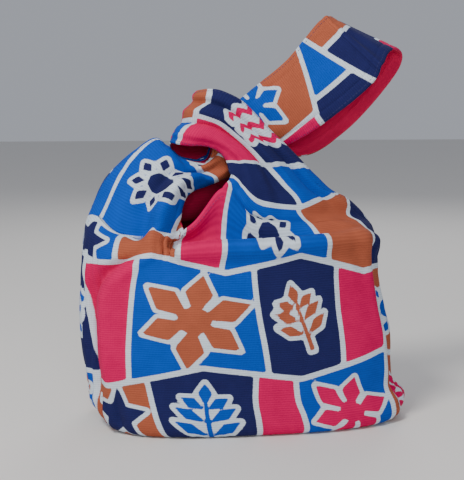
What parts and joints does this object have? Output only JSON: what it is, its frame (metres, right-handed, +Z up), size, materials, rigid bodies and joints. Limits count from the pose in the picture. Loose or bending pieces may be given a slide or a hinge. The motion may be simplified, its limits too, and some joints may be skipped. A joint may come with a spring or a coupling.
{
  "type": "knot bag",
  "caption": "Stuffed cloth knot bag standing upright, a long shoulder strap drawn through a short strap loop to form a knot and a wide hand loop, printed outside with plain lining",
  "frame": {"origin": "centre of the bounding box at the level of the base", "axes": "+Z up, front of the bag towards -Y, long strap's shoulder on the -X side"},
  "size_m": [0.2576, 0.1298, 0.3176],
  "materials": {
    "printed_cloth_front": "printed woven cotton, matte",
    "printed_cloth_back": "printed woven cotton, matte",
    "lining_cloth_front": "plain woven cotton, matte",
    "lining_cloth_back": "plain woven cotton, matte"
  },
  "bodies": {
    "root": {"outer_front": "printed_cloth_front", "outer_back": "printed_cloth_back", "lining_front": "lining_cloth_front", "lining_back": "lining_cloth_back"}
  },
  "joints": []
}
